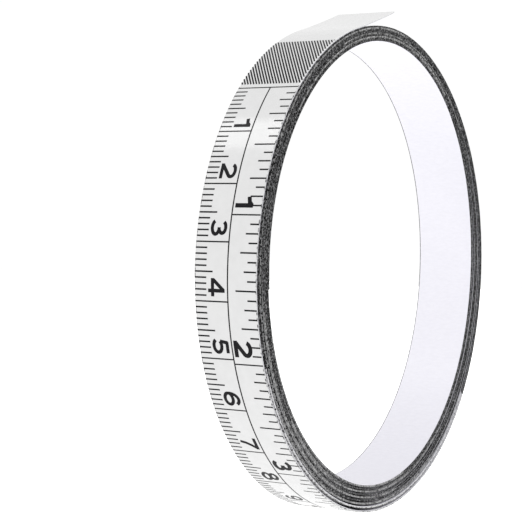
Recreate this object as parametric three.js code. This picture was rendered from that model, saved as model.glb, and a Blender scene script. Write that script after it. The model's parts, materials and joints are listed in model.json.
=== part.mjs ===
// A roll of self-adhesive bench measuring tape: one long laminated strip, wound with its printed
// face out and standing on its rim. The strip is a thin steel ribbon, an adhesive film on its back
// and a release liner over the adhesive.
//
// Millimetres and degrees. X is the coil's axis, Z is up, and the origin is under the coil's middle.
// The winding angle is measured from the top of the coil towards -Y, then down and round. It starts
// at the lift-off line, where the free outer end leaves the coil, and grows inwards turn by turn.

import * as THREE from 'three';

// The strip
const TAPE_WIDTH = 12;
const STEEL_THICKNESS = 0.15;
const ADHESIVE_THICKNESS = 0.06;
const LINER_THICKNESS = 0.07;
const LAYER_GAP = 0.01; // between the faces of two layers, so that their solids don't touch
const CUT_GAP = 0.05; // along the strip, where one length of it ends and the next begins

// The coil. It is a little wider than it is high, because it sags on its rim.
const RIM_RADIUS = 46.74; // mean radius of the outermost turn, if there were no slack
const RIM_SAG = 0.65; // how much less it is at the top, and more at the sides
const LOOSE_TURNS = 3; // the outer turns, which can be pushed along the others
const WHOLE_TURNS = 9;
const LIFT_ANGLE = 16;
const TAIL_END_ANGLE = 95;
const TAIL_HINGE_ANGLE = 65;

// The spacing of the turns. They touch at the top, and have the most slack on the +Y side. The
// outer turns take up more of it than the inner ones.
const TIGHT_PITCH = 0.31;
const SLACK_MEAN = 2;
const SLACK_TOP_BOTTOM = -1.37;
const SLACK_SIDES = -0.86;
const SLACK_OVAL = -0.61;
const SLACK_LOBES = 0.28;
const SLACK_POWER = 0.6;

// The free outer end
const LEADER_LENGTH = 14.1;
const LEADER_SLOPE = 19.2; // above level, pointing towards +Y
const LINER_TAB_LENGTH = 7;

// Facets: the flat at the very bottom is level, so the coil stands on it
const FACET_STEP = 10;
const FIRST_FACET_ANGLE = 5;
const FULL_TURN = 360;

const coating = new THREE.MeshStandardMaterial({ color: 0xf0f0ee, roughness: 0.25, metalness: 0 });
const glue = new THREE.MeshStandardMaterial({ color: 0xd8d4c4, roughness: 0.6, metalness: 0 });
const paper = new THREE.MeshStandardMaterial({ color: 0xecebf3, roughness: 0.5, metalness: 0 });

const sine = (degrees) => Math.sin(THREE.MathUtils.degToRad(degrees));
const cosine = (degrees) => Math.cos(THREE.MathUtils.degToRad(degrees));

// The layers of the strip: how far each one's two faces lie below the printed face
const steelLayer = { name: 'tape', material: coating, top: 0, bottom: STEEL_THICKNESS };
const adhesiveLayer = {
  name: 'adhesive',
  material: glue,
  top: steelLayer.bottom + LAYER_GAP,
  bottom: steelLayer.bottom + LAYER_GAP + ADHESIVE_THICKNESS,
};
const linerLayer = {
  name: 'liner',
  material: paper,
  top: adhesiveLayer.bottom + LAYER_GAP,
  bottom: adhesiveLayer.bottom + LAYER_GAP + LINER_THICKNESS,
};
const layers = [steelLayer, adhesiveLayer, linerLayer];

// How much further in the last whole turn is than it would be in a tight coil
function slack(windingAngle) {
  return SLACK_MEAN
    + SLACK_TOP_BOTTOM * cosine(windingAngle)
    + SLACK_SIDES * sine(windingAngle)
    + SLACK_OVAL * cosine(2 * windingAngle)
    + SLACK_LOBES * sine(3 * windingAngle);
}

// Radius of the printed face at a winding angle
function faceRadius(windingAngle) {
  const turn = (windingAngle - LIFT_ANGLE) / FULL_TURN;
  const slackSoFar = slack(windingAngle) * (turn / WHOLE_TURNS) ** SLACK_POWER;
  return RIM_RADIUS - RIM_SAG * cosine(2 * windingAngle) - TIGHT_PITCH * turn - slackSoFar;
}

// A point of the coil's section, as (Y, Z), at a depth below the printed face
function coilPoint(windingAngle, depth) {
  const radius = faceRadius(windingAngle) - depth;
  return new THREE.Vector2(-radius * sine(windingAngle), radius * cosine(windingAngle));
}

// The winding angles where the facets of a length of strip meet. Every turn bends at the same
// angles, so neighbouring turns and layers stay parallel.
function facetAngles(start, end) {
  const angles = [start];
  const firstTurn = Math.floor(start / FULL_TURN);
  for (let turn = firstTurn; turn * FULL_TURN < end; turn += 1) {
    const bends = [turn * FULL_TURN + LIFT_ANGLE];
    for (let angle = FIRST_FACET_ANGLE; angle < FULL_TURN; angle += FACET_STEP) {
      bends.push(turn * FULL_TURN + angle);
    }
    bends.sort((a, b) => a - b);
    angles.push(...bends.filter((angle) => angle > start && angle < end));
  }
  angles.push(end);
  return angles;
}

// A closed outline in (Y, Z), drawn out to the strip's width along X
function stripGeometry(outline) {
  const shape = new THREE.Shape(outline);
  const geometry = new THREE.ExtrudeGeometry(shape, { depth: TAPE_WIDTH, bevelEnabled: false });
  const alongX = new THREE.Matrix4().makeBasis(
    new THREE.Vector3(0, 1, 0),
    new THREE.Vector3(0, 0, 1),
    new THREE.Vector3(1, 0, 0),
  );
  geometry.applyMatrix4(alongX);
  geometry.translate(-TAPE_WIDTH / 2, 0, 0);
  return geometry;
}

function namedMesh(name, geometry, material) {
  const mesh = new THREE.Mesh(geometry, material);
  mesh.name = name;
  return mesh;
}

// One layer of a wound length of the strip
function woundLayer(layer, lengthName, start, end) {
  const angles = facetAngles(start, end);
  const outer = angles.map((angle) => coilPoint(angle, layer.top));
  const inner = angles.map((angle) => coilPoint(angle, layer.bottom));
  const outline = [...outer, ...inner.reverse()];
  return namedMesh(`${layer.name}_${lengthName}`, stripGeometry(outline), layer.material);
}

// All the layers of a wound length. It stops short of its end, to leave the cut gap.
function woundLength(lengthName, start, end) {
  const gapAngle = THREE.MathUtils.radToDeg(CUT_GAP / faceRadius(end));
  const length = new THREE.Group();
  for (const layer of layers) {
    length.add(woundLayer(layer, lengthName, start, end - gapAngle));
  }
  return length;
}

// One layer of the straight free end, from one distance along it to another
function straightLayer(name, layer, from, to) {
  const outline = [
    new THREE.Vector2(from, -layer.top),
    new THREE.Vector2(from, -layer.bottom),
    new THREE.Vector2(to, -layer.bottom),
    new THREE.Vector2(to, -layer.top),
  ];
  return namedMesh(name, stripGeometry(outline), layer.material);
}

// The free outer end, turned up about the lift-off line. The liner's last stretch is its own piece.
function leader() {
  const end = new THREE.Group();
  const tabStart = LEADER_LENGTH - LINER_TAB_LENGTH;
  end.add(straightLayer('tape_leader', steelLayer, CUT_GAP, LEADER_LENGTH));
  end.add(straightLayer('adhesive_leader', adhesiveLayer, CUT_GAP, LEADER_LENGTH));
  end.add(straightLayer('liner_leader', linerLayer, CUT_GAP, tabStart));
  end.add(straightLayer('liner_tab', linerLayer, tabStart + CUT_GAP, LEADER_LENGTH));
  const liftOff = coilPoint(LIFT_ANGLE, 0);
  end.position.set(0, liftOff.x, liftOff.y);
  end.rotation.x = THREE.MathUtils.degToRad(LEADER_SLOPE);
  return end;
}

// Sets the origin under the middle of the whole roll
function standOnOrigin(roll) {
  const box = new THREE.Box3().setFromObject(roll);
  const middle = box.getCenter(new THREE.Vector3());
  roll.position.set(-middle.x, -middle.y, -box.min.z);
}

const coreStart = LIFT_ANGLE + LOOSE_TURNS * FULL_TURN;
const tailStart = TAIL_HINGE_ANGLE + WHOLE_TURNS * FULL_TURN;
const tailEnd = TAIL_END_ANGLE + WHOLE_TURNS * FULL_TURN;

const roll = new THREE.Group();
roll.add(woundLength('outer_turns', LIFT_ANGLE, coreStart));
roll.add(woundLength('core_turns', coreStart, tailStart));
roll.add(woundLength('tail', tailStart, tailEnd));
roll.add(leader());
standOnOrigin(roll);

export default roll;
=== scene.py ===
"""Looks of a roll of self-adhesive bench measuring tape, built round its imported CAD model.

The roll is one long laminated strip: a coated steel ribbon, an adhesive film and a release liner.
Every piece follows one path, which gives a place for any distance along the strip, any distance
across it and any height over its printed face. Distances in this file are in millimetres, and
place() turns them into metres.
"""

import json
import math

import bpy
import numpy as np
from mathutils import Matrix, Vector


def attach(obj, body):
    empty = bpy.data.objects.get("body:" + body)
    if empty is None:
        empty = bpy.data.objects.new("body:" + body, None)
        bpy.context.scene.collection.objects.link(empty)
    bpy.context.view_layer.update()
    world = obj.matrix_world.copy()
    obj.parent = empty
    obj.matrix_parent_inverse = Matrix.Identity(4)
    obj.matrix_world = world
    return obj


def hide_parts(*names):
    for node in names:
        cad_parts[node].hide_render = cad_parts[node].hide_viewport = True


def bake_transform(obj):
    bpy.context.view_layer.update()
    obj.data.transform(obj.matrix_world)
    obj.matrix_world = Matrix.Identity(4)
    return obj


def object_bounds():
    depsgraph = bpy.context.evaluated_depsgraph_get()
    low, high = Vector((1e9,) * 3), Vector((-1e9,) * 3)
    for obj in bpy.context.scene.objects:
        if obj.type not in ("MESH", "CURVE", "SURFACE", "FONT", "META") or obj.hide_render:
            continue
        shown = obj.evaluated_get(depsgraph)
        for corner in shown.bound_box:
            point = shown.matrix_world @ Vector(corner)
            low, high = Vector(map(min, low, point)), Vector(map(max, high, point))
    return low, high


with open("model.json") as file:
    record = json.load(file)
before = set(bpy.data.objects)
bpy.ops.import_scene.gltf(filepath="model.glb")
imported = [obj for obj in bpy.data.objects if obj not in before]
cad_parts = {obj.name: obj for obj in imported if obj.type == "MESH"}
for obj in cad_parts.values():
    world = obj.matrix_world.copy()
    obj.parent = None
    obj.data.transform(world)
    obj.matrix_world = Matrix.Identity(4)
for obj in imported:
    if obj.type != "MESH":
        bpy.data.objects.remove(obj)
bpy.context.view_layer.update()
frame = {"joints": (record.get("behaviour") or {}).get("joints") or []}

MM = 0.001
FULL_TURN = 360.0

# The strip, as the CAD model has it
TAPE_WIDTH = 12.0
STEEL_BOTTOM = 0.15
ADHESIVE_TOP = 0.16
ADHESIVE_BOTTOM = 0.22
LINER_TOP = 0.23
LINER_BOTTOM = 0.30

# The coil, as the CAD model has it. The winding angle starts at the top of the coil, goes down on
# the -Y side and grows inwards.
RIM_RADIUS = 46.74
RIM_SAG = 0.65
LOOSE_TURNS = 3
WHOLE_TURNS = 9
LIFT_ANGLE = 16.0
TAIL_END_ANGLE = 95.0
TAIL_HINGE_ANGLE = 65.0
TIGHT_PITCH = 0.31
SLACK_MEAN = 2.0
SLACK_TOP_BOTTOM = -1.37
SLACK_SIDES = -0.86
SLACK_OVAL = -0.61
SLACK_LOBES = 0.28
SLACK_POWER = 0.6
LEADER_LENGTH = 14.1
LEADER_SLOPE = 19.2
LINER_TAB_LENGTH = 7.0

# The finer shape that only this file gives
ANGLE_STEP = 0.25  # in degrees, between two points of the path
STATION_STEP = 0.9  # along the strip, between two rows of vertices
CORNER_ANGLE = 40.0  # faces that meet at more than this many degrees have a sharp edge
WANDER = 0.07  # how far the turns' edges stray sideways
WANDER_START = 60.0  # the distance from the leader's tip over which the stray grows
LEADER_KINK = 2.5  # degrees that the leader's slope gains between lift-off and tip
ADHESIVE_INSET = 0.05  # from the strip's edges
LINER_INSET = 0.02
EDGE_SHADE_RIM = 0.13  # how far the look of the cut edges runs onto the faces: painted shade of the narrow gaps between the turns

# Lengths whose cut edges are painted lighter, as painted light on the lit outer turns: a turn, and the
# first and last winding angle within it
BRIGHT_STRETCHES = ((0, 0, 236), (1, 112, 236))
# Lengths whose cut edges are painted a dull grey, as painted glints on the inner turns: a turn, and
# the first and last winding angle within it
GLINT_STRETCHES = (
    (2, -8, 62),
    (2, 118, 214),
    (4, 100, 190),
    (5, -48, 25),
    (6, 128, 220),
    (7, -35, 52),
    (8, 105, 196),
)

# The print, along and across the strip
ZERO_ANGLE = 48.63  # winding angle of the scale's zero line
HATCH_END_ANGLE = 29.0
HATCH_GAP = 1.0  # between the hatch and the zero line
HATCH_PITCH = 0.575  # across the strip
HATCH_DUTY = 0.57  # how much of the pitch is black
HATCH_SLANT = 0.62  # how far a stripe moves across for each millimetre along
PRINTED_TURNS = 4
NUMBERED_TURNS = 1
INK_TOP = 0.012  # heights over the printed face
INK_BOTTOM = -0.004
INK_STEP = 0.8  # along a stroke, between two points
GLYPH_STEP = 0.4
SHARPEST_MITRE = 0.6  # keeps a stroke's corners from running out into spikes
TICK_WIDTH = 0.27
LINE_WIDTH = 0.24
CENTRE_LINE = 0.539 * TAPE_WIDTH
INCH = 25.4


def turned(degrees):
    """Sine and cosine of an angle in degrees."""
    return math.sin(math.radians(degrees)), math.cos(math.radians(degrees))


# ---- The strip's path ----


def slack(radians):
    """How much further in the last whole turn is than it would be in a tight coil."""
    return (
        SLACK_MEAN
        + SLACK_TOP_BOTTOM * np.cos(radians)
        + SLACK_SIDES * np.sin(radians)
        + SLACK_OVAL * np.cos(2 * radians)
        + SLACK_LOBES * np.sin(3 * radians)
    )


def face_radius(angle):
    """Radius of the printed face at a winding angle, which may be an array of them."""
    radians = np.radians(angle)
    turn = (angle - LIFT_ANGLE) / FULL_TURN
    slack_so_far = slack(radians) * (turn / WHOLE_TURNS) ** SLACK_POWER
    return RIM_RADIUS - RIM_SAG * np.cos(2 * radians) - TIGHT_PITCH * turn - slack_so_far


def lift_off_point():
    """Where the leader leaves the coil, as (Y, Z) in millimetres: the leader's hinge."""
    hinge = next(j for j in frame["joints"] if j["name"] == "leader_lift")
    return np.array(hinge["pos_m"][1:]) / MM


def coil_centre():
    """The spiral's centre, as (Y, Z) in millimetres."""
    radius = face_radius(LIFT_ANGLE)
    sine, cosine = turned(LIFT_ANGLE)
    return lift_off_point() - radius * np.array([-sine, cosine])


def leader_points(step=0.2):
    """The leader from its tip to just before the lift-off point, as rows of (Y, Z)."""
    count = int(LEADER_LENGTH / step)
    length = np.linspace(0, LEADER_LENGTH, count + 1)
    slope = LEADER_SLOPE + LEADER_KINK * (length / LEADER_LENGTH - 0.5)
    step_length = np.diff(length)
    middle = np.radians((slope[1:] + slope[:-1]) / 2)
    y = np.concatenate([[0], np.cumsum(step_length * np.cos(middle))])
    z = np.concatenate([[0], np.cumsum(step_length * np.sin(middle))])
    points = lift_off_point() + np.stack([y, z], 1)
    return points[:0:-1]


def coil_points(angle):
    """The spiral's points at an array of winding angles, as rows of (Y, Z)."""
    radius = face_radius(angle)
    radians = np.radians(angle)
    outward = np.stack([-np.sin(radians), np.cos(radians)], 1)
    return coil_centre() + radius[:, None] * outward


class Path:
    """The printed face's line in (Y, Z), by distance from the leader's tip."""

    def __init__(self):
        last = TAIL_END_ANGLE + WHOLE_TURNS * FULL_TURN
        self.angles = np.arange(LIFT_ANGLE, last + ANGLE_STEP / 2, ANGLE_STEP)
        leader = leader_points()
        self.points = np.concatenate([leader, coil_points(self.angles)])
        steps = np.linalg.norm(np.diff(self.points, axis=0), axis=1)
        self.distance = np.concatenate([[0], np.cumsum(steps)])
        self.lift_off = self.distance[len(leader)]
        self.length = self.distance[-1]
        along = np.gradient(self.points, self.distance, axis=0)
        along /= np.linalg.norm(along, axis=1)[:, None]
        self.outward = np.stack([along[:, 1], -along[:, 0]], 1)
        self.first_coil = len(leader)

    def at_angle(self, angle):
        """Distance from the tip to a winding angle."""
        return float(np.interp(angle, self.angles, self.distance[self.first_coil :]))

    def winding_angle(self, s):
        """The winding angle at a distance from the tip: the lift-off's all along the leader."""
        return float(np.interp(s, self.distance[self.first_coil :], self.angles))

    def line(self, s):
        """The face's points and outward directions at distances from the tip."""
        s = np.asarray(s, float)
        point = [np.interp(s, self.distance, self.points[:, k]) for k in (0, 1)]
        outward = [np.interp(s, self.distance, self.outward[:, k]) for k in (0, 1)]
        return np.stack(point, -1), np.stack(outward, -1)


path = Path()


def wander(s):
    """Sideways stray of the strip, none at the leader's tip."""
    slow = np.sin(s / 61.0) + 0.6 * np.sin(s / 23.7 + 1.3) + 0.35 * np.sin(s / 9.1 + 0.4)
    return WANDER * slow * np.clip(s / WANDER_START, 0, 1)


def place(s, across, height):
    """Points in metres, from distance along, distance from the centimetre edge and height."""
    s, across, height = np.broadcast_arrays(
        np.asarray(s, float), np.asarray(across, float), np.asarray(height, float)
    )
    point, outward = path.line(s)
    yz = point + outward * height[..., None]
    x = across - TAPE_WIDTH / 2 + wander(s)
    return np.stack([x, yz[..., 0], yz[..., 1]], -1) * MM


def place_one(s, height=0.0):
    """One point in metres on the strip's middle line."""
    return tuple(float(v) for v in place(s, TAPE_WIDTH / 2, height))


# ---- Materials ----


def new_material(name, colour, roughness, metallic=0.0, specular=0.5):
    material = bpy.data.materials.new(name)
    material.use_nodes = True
    shader = material.node_tree.nodes["Principled BSDF"]
    shader.inputs["Base Color"].default_value = (*colour, 1)
    shader.inputs["Roughness"].default_value = roughness
    shader.inputs["Metallic"].default_value = metallic
    shader.inputs["Specular IOR Level"].default_value = specular
    return material


def add_noise(material, scale, detail=4.0, stretch=(1, 1, 1)):
    """A noise texture in object space: scale is in features per metre."""
    nodes, links = material.node_tree.nodes, material.node_tree.links
    where = nodes.new("ShaderNodeTexCoord")
    mapping = nodes.new("ShaderNodeMapping")
    mapping.inputs["Scale"].default_value = stretch
    noise = nodes.new("ShaderNodeTexNoise")
    noise.inputs["Scale"].default_value = scale
    noise.inputs["Detail"].default_value = detail
    links.new(where.outputs["Object"], mapping.inputs["Vector"])
    links.new(mapping.outputs["Vector"], noise.inputs["Vector"])
    return noise


def vary_colour(material, noise, dark, light, low=0.3, high=0.7):
    """Runs the colour from dark to light while the noise runs from low to high."""
    nodes, links = material.node_tree.nodes, material.node_tree.links
    ramp = nodes.new("ShaderNodeValToRGB")
    ramp.color_ramp.elements[0].position = low
    ramp.color_ramp.elements[1].position = high
    ramp.color_ramp.elements[0].color = (*dark, 1)
    ramp.color_ramp.elements[1].color = (*light, 1)
    links.new(noise.outputs["Fac"], ramp.inputs["Fac"])
    links.new(ramp.outputs["Color"], nodes["Principled BSDF"].inputs["Base Color"])


def vary_roughness(material, noise, low, high):
    """Runs the roughness from low to high with the noise."""
    nodes, links = material.node_tree.nodes, material.node_tree.links
    spread = nodes.new("ShaderNodeMapRange")
    spread.inputs["To Min"].default_value = low
    spread.inputs["To Max"].default_value = high
    links.new(noise.outputs["Fac"], spread.inputs["Value"])
    links.new(spread.outputs["Result"], nodes["Principled BSDF"].inputs["Roughness"])


def add_bump(material, noise, distance, strength):
    """Raises the surface with the noise, by a distance in metres."""
    nodes, links = material.node_tree.nodes, material.node_tree.links
    bump = nodes.new("ShaderNodeBump")
    bump.inputs["Distance"].default_value = distance
    bump.inputs["Strength"].default_value = strength
    links.new(noise.outputs["Fac"], bump.inputs["Height"])
    links.new(bump.outputs["Normal"], nodes["Principled BSDF"].inputs["Normal"])


def enamel_material():
    """The white gloss enamel under the print: faint mottling and orange peel."""
    material = new_material("white_enamel", (0.57, 0.57, 0.57), 0.14, specular=0.2)
    vary_colour(material, add_noise(material, 700), (0.56, 0.56, 0.56), (0.585, 0.585, 0.585))
    vary_roughness(material, add_noise(material, 2600), 0.11, 0.18)
    add_bump(material, add_noise(material, 1300, 2.0), 0.000008, 0.3)
    return material


def ink_material():
    """The black print: flatter than the enamel."""
    material = new_material("black_ink", (0.008, 0.008, 0.009), 0.3, specular=0.06)
    vary_colour(material, add_noise(material, 5200), (0.005, 0.005, 0.006), (0.014, 0.014, 0.015))
    vary_roughness(material, add_noise(material, 2600), 0.26, 0.38)
    return material


def cut_edge_material():
    """The sheared steel edge: dark, partly its own colour and partly painted shade of the tight gaps
    between the turns, with burrs and bright nicks.
    """
    material = new_material("cut_steel_edge", (0.04, 0.04, 0.042), 0.5, specular=0.08)
    grain = add_noise(material, 2800, 6.0)
    vary_colour(material, grain, (0.002, 0.002, 0.002), (0.34, 0.34, 0.344), 0.48, 0.7)
    vary_roughness(material, add_noise(material, 4200), 0.38, 0.65)
    add_bump(material, grain, 0.00004, 0.8)
    return material


def clean_edge_material():
    """The free end's edge, painted over like its face. Its light grey also serves as painted light on
    the adhesive's edge along the outer turns.
    """
    material = new_material("clean_and_lit_steel_edge", (0.66, 0.66, 0.66), 0.4, specular=0.3)
    grain = add_noise(material, 3000, 5.0)
    vary_colour(material, grain, (0.60, 0.60, 0.60), (0.70, 0.70, 0.70))
    vary_roughness(material, add_noise(material, 4200), 0.32, 0.5)
    return material


def rubbed_edge_material():
    """The outermost turns' edge: painted light grey, as painted light on the lit outer turns, with
    dark burrs left in it.
    """
    material = new_material("painted_lit_steel_edge", (0.5, 0.5, 0.5), 0.4, specular=0.3)
    burrs = add_noise(material, 1500, 5.0)
    vary_colour(material, burrs, (0.02, 0.02, 0.02), (0.55, 0.55, 0.55), 0.38, 0.5)
    vary_roughness(material, add_noise(material, 4200), 0.32, 0.5)
    return material


def scuffed_edge_material():
    """Edges inside the coil painted a dull grey, as painted glints where the turns' edges catch the
    light.
    """
    material = new_material("painted_glint_edge", (0.26, 0.26, 0.26), 0.45, specular=0.15)
    glints = add_noise(material, 1800, 5.0)
    vary_colour(material, glints, (0.02, 0.02, 0.02), (0.36, 0.36, 0.36), 0.36, 0.6)
    vary_roughness(material, add_noise(material, 4200), 0.38, 0.6)
    return material


def steel_back_material():
    """The ribbon's bare back, with a faint grain along the strip."""
    material = new_material("steel_back", (0.30, 0.30, 0.31), 0.4, 0.9)
    vary_roughness(material, add_noise(material, 900, stretch=(1, 6, 6)), 0.32, 0.5)
    return material


def adhesive_material():
    """The acrylic adhesive: its edge is painted near black, as painted shade in the narrow slot
    between the steel and the liner.
    """
    material = new_material("acrylic_adhesive", (0.04, 0.04, 0.04), 0.55, specular=0.08)
    adhesive_shade_speckle = add_noise(material, 3000, 6.0)
    vary_colour(material, adhesive_shade_speckle, (0.004, 0.004, 0.004), (0.1, 0.1, 0.098), 0.4, 0.7)
    add_bump(material, adhesive_shade_speckle, 0.00002, 0.5)
    return material


def liner_material():
    """The release liner: smooth silicone-coated paper with a faint lavender tint."""
    material = new_material("release_liner", (0.83, 0.82, 0.90), 0.4, specular=0.3)
    fibre = add_noise(material, 900, 8.0, stretch=(1, 2.5, 2.5))
    vary_colour(material, fibre, (0.66, 0.653, 0.70), (0.695, 0.688, 0.735))
    vary_roughness(material, add_noise(material, 1600, 5.0), 0.36, 0.5)
    add_bump(material, fibre, 0.000006, 0.3)
    return material


def liner_edge_material():
    """The liner's cut edge, painted dark grey as painted shade of the tight gaps between the turns."""
    material = new_material("liner_edge", (0.06, 0.06, 0.065), 0.6, specular=0.08)
    liner_shade_speckle = add_noise(material, 2800, 6.0)
    vary_colour(material, liner_shade_speckle, (0.006, 0.006, 0.007), (0.22, 0.22, 0.23), 0.44, 0.7)
    add_bump(material, liner_shade_speckle, 0.00002, 0.6)
    return material


enamel = enamel_material()
ink = ink_material()
cut_edge = cut_edge_material()
clean_and_lit_edge = clean_edge_material()
painted_lit_edge = rubbed_edge_material()
painted_glint_edge = scuffed_edge_material()
steel_back = steel_back_material()
adhesive = adhesive_material()
liner = liner_material()
liner_edge = liner_edge_material()


# ---- Mesh pieces ----


def mesh_object(name, vertices, faces, materials, face_materials=None):
    mesh = bpy.data.meshes.new(name)
    mesh.from_pydata([tuple(v) for v in vertices], [], faces)
    for material in materials:
        mesh.materials.append(material)
    if face_materials is not None:
        mesh.polygons.foreach_set("material_index", face_materials)
    mesh.validate()
    piece = bpy.data.objects.new(name, mesh)
    bpy.context.scene.collection.objects.link(piece)
    return piece


def smooth_but_for_corners(piece):
    piece.data.polygons.foreach_set("use_smooth", [True] * len(piece.data.polygons))
    piece.data.set_sharp_from_angle(angle=math.radians(CORNER_ANGLE))


# BRIGHT_EDGE and GLINT_EDGE are painted light: the lit edges of the outer turns, and painted glints
OUTER, EDGE, INNER, BRIGHT_EDGE, GLINT_EDGE = range(5)  # a layer's materials, in order


class Layer:
    """One layer of the strip: its two depths, its inset from the strip's edges, its looks."""

    def __init__(self, slot, top, bottom, inset, materials):
        self.slot = slot
        self.top, self.bottom, self.inset = -top, -bottom, inset
        self.materials = materials


def steel(bright_edge):
    materials = (enamel, cut_edge, steel_back, bright_edge, painted_glint_edge)
    return Layer("printed_steel", 0.0, STEEL_BOTTOM, 0.0, materials)


steel_layer = steel(painted_lit_edge)
leader_steel_layer = steel(clean_and_lit_edge)
# Along the bright stretches the adhesive's edge is light grey as painted light, and along the glint
# stretches it is a painted glint
adhesive_looks = (adhesive, adhesive, adhesive, clean_and_lit_edge, painted_glint_edge)
adhesive_layer = Layer("adhesive", ADHESIVE_TOP, ADHESIVE_BOTTOM, ADHESIVE_INSET, adhesive_looks)
# Along the bright stretches the liner's edge is as light as its face, as painted light, and along the
# glint stretches it is a painted glint
liner_looks = (liner, liner_edge, liner, liner, painted_glint_edge)
liner_layer = Layer("release_liner", LINER_TOP, LINER_BOTTOM, LINER_INSET, liner_looks)
LAYERS = {"tape": steel_layer, "adhesive": adhesive_layer, "liner": liner_layer}


def edge_look(s):
    """Which of a layer's edge materials a place along the strip shows."""
    angle = path.winding_angle(s)

    def on_one(stretches):
        return any(first <= angle - turn * FULL_TURN <= last for turn, first, last in stretches)

    # The bright and glint stretches are painted light on the edges
    if on_one(BRIGHT_STRETCHES):
        return BRIGHT_EDGE
    return GLINT_EDGE if on_one(GLINT_STRETCHES) else EDGE


def strip(name, layer, start, end):
    """A closed length of one layer, from one distance along the strip to another."""
    rows = max(2, math.ceil((end - start) / STATION_STEP) + 1)
    s = np.linspace(start, end, rows)
    low, high = layer.inset, TAPE_WIDTH - layer.inset
    # The faces' rims next to the cut edges take the edge's look, as painted shade of the narrow gaps
    # between the turns
    across = (low, low + EDGE_SHADE_RIM, high - EDGE_SHADE_RIM, high)
    corners = [(a, layer.top) for a in across] + [(a, layer.bottom) for a in reversed(across)]
    rings = np.stack([place(s, *corner) for corner in corners], 1)
    sides = (EDGE, OUTER, EDGE, EDGE, EDGE, INNER, EDGE, EDGE)
    size = len(corners)
    faces, looks = [], []
    for row in range(rows - 1):
        here, there = size * row, size * (row + 1)
        edge = edge_look((s[row] + s[row + 1]) / 2)
        for k, side in enumerate(sides):
            following = (k + 1) % size
            faces.append((here + k, there + k, there + following, here + following))
            looks.append(edge if side == EDGE else side)
    last = size * (rows - 1)
    faces += [tuple(range(size)), tuple(reversed(range(last, last + size)))]
    looks += [EDGE, EDGE]
    piece = mesh_object(name, rings.reshape(-1, 3), faces, layer.materials, looks)
    smooth_but_for_corners(piece)
    return piece


# ---- Ink: strokes of constant width on the printed face ----


class Ink:
    """Collects strokes, each a closed slab, and makes one mesh of them."""

    def __init__(self):
        self.vertices, self.faces = [], []

    def stroke(self, points, width, closed=False):
        """A slab along a line of (distance along, distance across) points."""
        points = np.asarray(points, float)
        if closed:
            before, after = np.roll(points, 1, axis=0), np.roll(points, -1, axis=0)
        else:
            before = np.vstack([points[:1] * 2 - points[1:2], points[:-1]])
            after = np.vstack([points[1:], points[-1:] * 2 - points[-2:-1]])
        into = points - before
        out = after - points
        into /= np.linalg.norm(into, axis=1)[:, None]
        out /= np.linalg.norm(out, axis=1)[:, None]
        along = into + out
        along /= np.linalg.norm(along, axis=1)[:, None]
        mitre = np.clip(np.sum(along * into, axis=1), SHARPEST_MITRE, 1)
        sideways = np.stack([-along[:, 1], along[:, 0]], 1) * (width / 2 / mitre)[:, None]
        left, right = points + sideways, points - sideways
        base = len(self.vertices)
        for a, b in zip(left, right):
            self.vertices += [(*a, INK_TOP), (*b, INK_TOP), (*b, INK_BOTTOM), (*a, INK_BOTTOM)]
        count = len(points)
        for row in range(count if closed else count - 1):
            here = base + 4 * row
            there = base + 4 * ((row + 1) % count)
            for k in range(4):
                following = (k + 1) % 4
                self.faces.append((here + k, here + following, there + following, there + k))
        if not closed:
            last = base + 4 * (count - 1)
            self.faces.append((base + 3, base + 2, base + 1, base))
            self.faces.append((last, last + 1, last + 2, last + 3))

    def across(self, s, low, high, width):
        """A straight stroke across the strip."""
        self.stroke([(s, low), (s, high)], width)

    def along(self, start, end, across, width):
        """A straight stroke along the strip."""
        s = np.linspace(start, end, max(2, math.ceil((end - start) / INK_STEP) + 1))
        self.stroke(np.stack([s, np.full_like(s, across)], 1), width)

    def piece(self, name):
        """The mesh of all the strokes so far."""
        vertices = np.array(self.vertices)
        placed = place(vertices[:, 0], vertices[:, 1], vertices[:, 2])
        piece = mesh_object(name, placed, self.faces, [ink])
        return piece


# ---- Numerals: a box's width, and in it lines with whether each is closed; heights are 0 to 1 ----

GLYPH_SPACE = 0.2  # between two numerals
ROUND_WIDTH = 0.92  # of the numerals that are a ring or two


def arc(x, y, rx, ry, start, end, steps=18):
    """Points of an ellipse's arc, by angles in degrees from +X towards +Y."""
    angle = np.radians(np.linspace(start, end, steps))
    return [(x + rx * math.cos(a), y + ry * math.sin(a)) for a in angle]


def ring(x, y, rx, ry, steps=28):
    """Points of a whole ellipse, without the first one again at its end."""
    return arc(x, y, rx, ry, 0, 360 - 360 / steps, steps)


def six():
    return [(ring(0.46, 0.33, 0.35, 0.235), True), (arc(0.50, 0.40, 0.39, 0.51, 182, 42), False)]


def nine():
    """A six turned upside down."""
    return [([(ROUND_WIDTH - x, 1 - y) for x, y in line], closed) for line, closed in six()]


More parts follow.
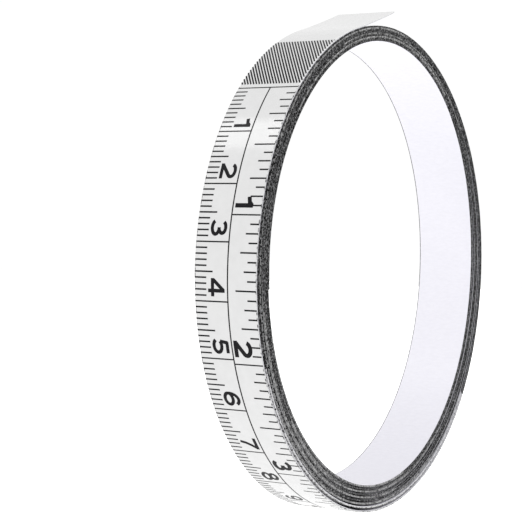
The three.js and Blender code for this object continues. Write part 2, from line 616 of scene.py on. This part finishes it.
GLYPHS = {
    "0": (ROUND_WIDTH, [(ring(0.46, 0.5, 0.35, 0.405), True)]),
    "1": (
        0.56,
        [
            ([(0.46, 0), (0.46, 1)], False),
            ([(0.47, 0.94), (0.30, 0.79), (0.02, 0.73)], False),
        ],
    ),
    "2": (
        0.90,
        [
            (arc(0.45, 0.68, 0.33, 0.225, 168, -32) + [(0.14, 0.13)], False),
            ([(0.03, 0.095), (0.88, 0.095)], False),
        ],
    ),
    "3": (
        0.90,
        [
            (arc(0.42, 0.705, 0.30, 0.20, 158, -90), False),
            (arc(0.42, 0.305, 0.35, 0.21, 90, -160), False),
        ],
    ),
    "4": (
        0.94,
        [
            ([(0.64, 0), (0.64, 1)], False),
            ([(0.00, 0.27), (0.94, 0.27)], False),
            ([(0.62, 0.93), (0.06, 0.30)], False),
        ],
    ),
    "5": (
        0.90,
        [
            ([(0.20, 0.905), (0.82, 0.905)], False),
            ([(0.25, 0.95), (0.18, 0.50)], False),
            (arc(0.44, 0.33, 0.35, 0.235, 138, -155), False),
        ],
    ),
    "6": (ROUND_WIDTH, six()),
    "7": (
        0.90,
        [
            ([(0.04, 0.905), (0.90, 0.905)], False),
            ([(0.82, 0.90), (0.60, 0.62), (0.42, 0.30), (0.34, 0.0)], False),
        ],
    ),
    "8": (ROUND_WIDTH, [(ring(0.46, 0.715, 0.29, 0.19), True), (ring(0.46, 0.305, 0.35, 0.21), True)]),
    "9": (ROUND_WIDTH, nine()),
}


def resampled(line, step):
    """The line with points added so that none are further apart than step."""
    points = [line[0]]
    for a, b in zip(line, line[1:]):
        pieces = max(1, math.ceil(math.dist(a, b) / step))
        points += [
            (a[0] + (b[0] - a[0]) * k / pieces, a[1] + (b[1] - a[1]) * k / pieces)
            for k in range(1, pieces + 1)
        ]
    return points


def number(page, value, end, low, height, stroke):
    """Writes a number that ends at a distance along, with its feet towards the centimetre edge."""
    glyphs = [GLYPHS[digit] for digit in str(value)]
    space = GLYPH_SPACE * height
    left = end - sum(width for width, _ in glyphs) * height - (len(glyphs) - 1) * space
    for width, lines in glyphs:
        for line, closed in lines:
            scaled = [(left + x * height, low + y * height) for x, y in line]
            page.stroke(scaled if closed else resampled(scaled, GLYPH_STEP), stroke, closed)
        left += width * height + space


# ---- The scale ----

CM_TICK = 0.19  # fractions of the strip's width, as are the number lows and INCH_TICKS
CM_HALF_TICK = 0.295
CM_NUMBER_LOW = 0.22  # where the numerals' feet are
CM_NUMBER_HEIGHT = 3.25
CM_NUMBER_GAP = 0.85  # between a number and the line that it names
CM_STROKE = 0.62
INCH_TICKS = {1: 0.143, 2: 0.20, 4: 0.267, 8: 0.332}  # by the sixteenths they mark
INCH_NUMBER_LOW = 0.575
INCH_NUMBER_HEIGHT = 3.45
INCH_NUMBER_GAP = 1.25
INCH_STROKE = 0.76
SIXTEENTHS = 16
MILLIMETRES = 10  # in a centimetre


def metric_side(page, zero, start, end, numbered_to):
    """Lines at each millimetre between two distances, with numbers up to a third."""
    for count in range(max(1, math.ceil(start - zero)), math.floor(end - zero) + 1):
        s = zero + count
        centimetres, millimetre = divmod(count, MILLIMETRES)
        if millimetre == 0:
            page.across(s, 0.0, CENTRE_LINE, LINE_WIDTH)
            if s < numbered_to:
                low = CM_NUMBER_LOW * TAPE_WIDTH
                number(page, centimetres, s - CM_NUMBER_GAP, low, CM_NUMBER_HEIGHT, CM_STROKE)
        else:
            reach = CM_HALF_TICK if millimetre == MILLIMETRES / 2 else CM_TICK
            page.across(s, 0.0, reach * TAPE_WIDTH, TICK_WIDTH)


def inch_tick_reach(sixteenth):
    """How far a tick comes in from the inch edge: longer for halves and quarters."""
    step = max(k for k in INCH_TICKS if sixteenth % k == 0)
    return INCH_TICKS[step] * TAPE_WIDTH


def inch_side(page, zero, start, end, numbered_to):
    """The same at each sixteenth of an inch."""
    step = INCH / SIXTEENTHS
    first, last = math.ceil((start - zero) / step), math.floor((end - zero) / step)
    for count in range(max(1, first), last + 1):
        s = zero + count * step
        inches, sixteenth = divmod(count, SIXTEENTHS)
        if sixteenth == 0:
            page.across(s, CENTRE_LINE, TAPE_WIDTH, LINE_WIDTH)
            if s < numbered_to:
                low = INCH_NUMBER_LOW * TAPE_WIDTH
                number(page, inches, s - INCH_NUMBER_GAP, low, INCH_NUMBER_HEIGHT, INCH_STROKE)
        else:
            page.across(s, TAPE_WIDTH - inch_tick_reach(sixteenth), TAPE_WIDTH, TICK_WIDTH)


def scale_print(name, start, end, numbered_to):
    """Both scales and the line between them, from one distance along the strip to another."""
    page = Ink()
    zero = path.at_angle(ZERO_ANGLE)
    if start <= zero:
        page.across(zero, 0.0, TAPE_WIDTH, LINE_WIDTH)
    page.along(max(start, zero), end, CENTRE_LINE, LINE_WIDTH)
    metric_side(page, zero, start, end, numbered_to)
    inch_side(page, zero, start, end, numbered_to)
    return page.piece(name)


def hatch_print(name):
    """The slanting stripes before the zero line."""
    page = Ink()
    start = path.at_angle(HATCH_END_ANGLE)
    end = path.at_angle(ZERO_ANGLE) - HATCH_GAP
    rise = HATCH_SLANT * (end - start)
    width = HATCH_DUTY * HATCH_PITCH * math.cos(math.atan(HATCH_SLANT))
    first = -math.ceil(rise / HATCH_PITCH)
    for count in range(first, math.floor(TAPE_WIDTH / HATCH_PITCH) + 1):
        across = (count + 0.5) * HATCH_PITCH
        from_s = start + max(0.0, -across / HATCH_SLANT)
        to_s = start + min(end - start, (TAPE_WIDTH - across) / HATCH_SLANT)
        if to_s - from_s > width:
            line = [
                (from_s, across + HATCH_SLANT * (from_s - start)),
                (to_s, across + HATCH_SLANT * (to_s - start)),
            ]
            page.stroke(resampled(line, INK_STEP), width)
    return page.piece(name)


# ---- Building the roll ----

BEND_BEFORE = 3.0  # lengths of strip on each side of a hinge where an end is lifted
BEND_AFTER = 4.0
PEEL_BEFORE = 0.5  # the same where the liner peels
PEEL_AFTER = 2.5


def build_outer_turns(start, end):
    """The loose turns, from the zero line inwards."""
    for kind, layer in LAYERS.items():
        piece = strip(f"{kind}_outer_strip", layer, start, end)
        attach(piece, "outer_turns")
        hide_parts(f"{kind}_outer_turns")
    numbered_to = path.at_angle(LIFT_ANGLE + NUMBERED_TURNS * FULL_TURN)
    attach(scale_print("scale_outer", start, end, numbered_to), "outer_turns")


def build_core_turns(start, end):
    """The tight turns, up to the tail."""
    for kind, layer in LAYERS.items():
        piece = strip(f"{kind}_core_strip", layer, start, end)
        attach(piece, "coil")
        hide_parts(f"{kind}_core_turns")
    printed_end = path.at_angle(LIFT_ANGLE + PRINTED_TURNS * FULL_TURN)
    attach(scale_print("scale_core", start, printed_end, 0.0), "coil")


def build_leader(end):
    """The free end and the short stretch of coil before it."""
    bend_start = place_one(path.lift_off + BEND_BEFORE)
    bend_end = place_one(path.lift_off - BEND_AFTER)
    peel_join = path.lift_off - BEND_AFTER
    tape = strip("tape_leader_strip", leader_steel_layer, 0.0, end)
    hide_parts("tape_leader")
    glue = strip("adhesive_leader_strip", adhesive_layer, 0.0, end)
    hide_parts("adhesive_leader")
    backing = strip("liner_leader_strip", liner_layer, peel_join, end)
    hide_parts("liner_leader")
    for piece in (tape, glue, backing, hatch_print("hatch")):
        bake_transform(piece)
    tab = strip("liner_tab_strip", liner_layer, 0.0, peel_join)
    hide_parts("liner_tab")
    peel_start = place_one(LINER_TAB_LENGTH + PEEL_BEFORE, -LINER_TOP)
    peel_end = place_one(LINER_TAB_LENGTH - PEEL_AFTER, -LINER_TOP)
    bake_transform(tab)


def build_tail(start, hinge):
    """The inner end, with the short stretch before its hinge."""
    bend_start = place_one(hinge - BEND_BEFORE)
    bend_end = place_one(hinge + BEND_AFTER)
    for kind, layer in LAYERS.items():
        piece = strip(f"{kind}_tail_strip", layer, start, path.length)
        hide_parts(f"{kind}_tail")
        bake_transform(piece)


def build_roll():
    """All the lengths of the strip, which meet end to end."""
    zero = path.at_angle(ZERO_ANGLE)
    leader_end = zero - HATCH_GAP / 2
    loose_end = path.at_angle(LIFT_ANGLE + LOOSE_TURNS * FULL_TURN)
    tail_hinge = path.at_angle(TAIL_HINGE_ANGLE + WHOLE_TURNS * FULL_TURN)
    tail_start = tail_hinge - 2 * BEND_BEFORE
    build_leader(leader_end)
    build_outer_turns(leader_end, loose_end)
    build_core_turns(loose_end, tail_start)
    build_tail(tail_start, tail_hinge)


# ---- Stage, light and camera ----

CAMERA_DISTANCE = 307.7
CAMERA_AZIMUTH = 30.92
CAMERA_ROLL = 1.794
CAMERA_LENS = 109.94
CAMERA_SENSOR = 36.0
CAMERA_CLIP = (0.01, 20.0)  # in metres
AIM_LEFT = 13.13  # from the middle of the coil's far side to the middle of the view
AIM_UP = 1.39
FLOOR_HALF = 3.0  # in metres, as are the key light's places and size
FLOOR_GLOW = 1.2
WORLD_BRIGHTNESS = 1.02
KEY_PLACE = (-0.2085, -0.187, 0.377)  # where the gloss of the first centimetres reflects it
KEY_AIM = (0.0, -0.041, 0.067)
KEY_UP = (0.0, 0.85, 0.53)
KEY_SIZE = (0.25, 0.095)
KEY_BRIGHTNESS = 6.5


def make_camera():
    """A level camera that looks at the coil's far side, rolled a little."""
    sine, cosine = turned(CAMERA_AZIMUTH)
    forward = Vector((-sine, cosine, 0))
    centre_y, centre_z = coil_centre()
    centre = Vector((-TAPE_WIDTH / 2, centre_y, centre_z))
    data = bpy.data.cameras.new("camera")
    data.lens = CAMERA_LENS
    data.sensor_width = CAMERA_SENSOR
    data.clip_start, data.clip_end = CAMERA_CLIP
    camera = bpy.data.objects.new("camera", data)
    level = (-forward).to_track_quat("Z", "Y").to_matrix()
    turn = level @ Matrix.Rotation(math.radians(CAMERA_ROLL), 3, "Z")
    offset = turn @ Vector((-AIM_LEFT, AIM_UP, CAMERA_DISTANCE))
    camera.matrix_world = Matrix.Translation((centre + offset) * MM) @ turn.to_4x4()
    bpy.context.scene.collection.objects.link(camera)
    bpy.context.scene.camera = camera


def make_floor(height):
    """A pale floor that glows a little, like a light table."""
    half = FLOOR_HALF
    corners = [(x, y, height) for x, y in ((-half, -half), (half, -half), (half, half), (-half, half))]
    floor_look = new_material("light_table", (0.3, 0.3, 0.3), 0.8, specular=0.1)
    shader = floor_look.node_tree.nodes["Principled BSDF"]
    shader.inputs["Emission Color"].default_value = (1, 1, 1, 1)
    shader.inputs["Emission Strength"].default_value = FLOOR_GLOW
    floor = mesh_object("floor", corners, [(0, 1, 2, 3)], [floor_look])


def make_softbox(name, position, aim, up, width, height, brightness):
    """A rectangular light that faces a point, with its height along the up direction."""
    data = bpy.data.lights.new(name, "AREA")
    data.shape = "RECTANGLE"
    data.size, data.size_y = width, height
    data.energy = brightness * math.pi * width * height
    light = bpy.data.objects.new(name, data)
    back = (Vector(position) - Vector(aim)).normalized()
    side = Vector(up).cross(back).normalized()
    axes = Matrix((side, back.cross(side), back)).transposed()
    light.matrix_world = Matrix.Translation(position) @ axes.to_4x4()
    bpy.context.scene.collection.objects.link(light)


def make_world(brightness):
    world = bpy.data.worlds.new("studio")
    world.use_nodes = True
    background = world.node_tree.nodes["Background"]
    background.inputs["Color"].default_value = (1, 1, 1, 1)
    background.inputs["Strength"].default_value = brightness
    bpy.context.scene.world = world


make_camera()
build_roll()
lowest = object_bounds()[0][2]
make_floor(lowest)
make_softbox("key_light", KEY_PLACE, KEY_AIM, KEY_UP, *KEY_SIZE, KEY_BRIGHTNESS)
make_world(WORLD_BRIGHTNESS)
bpy.context.scene.view_settings.view_transform = "Standard"
